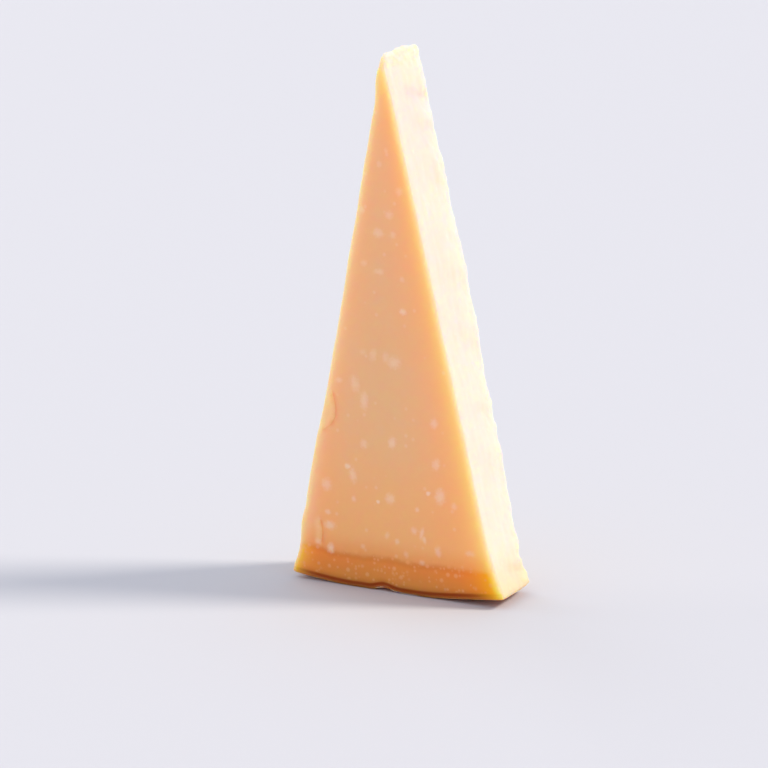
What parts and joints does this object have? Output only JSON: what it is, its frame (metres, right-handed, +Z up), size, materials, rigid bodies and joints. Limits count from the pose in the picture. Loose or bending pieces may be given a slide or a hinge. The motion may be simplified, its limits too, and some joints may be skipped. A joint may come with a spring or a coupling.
{
  "type": "parmesan wedge",
  "caption": "Tall thin wedge of hard grainy cheese, standing on its rind with the narrow tip up.",
  "frame": {"origin": "middle of the bounding box, at the lowest part of the rind, on which the wedge stands", "axes": "+Z up from the rind to the tip; +X along the rind, towards the corner that flares out; +Y through the thickness, away from the smooth sector-shaped cut face"},
  "size_m": [0.092, 0.0278, 0.2074],
  "materials": {
    "cheese_paste": null
  },
  "bodies": {
    "root": {"cheese_wedge": "cheese_paste"}
  },
  "joints": []
}
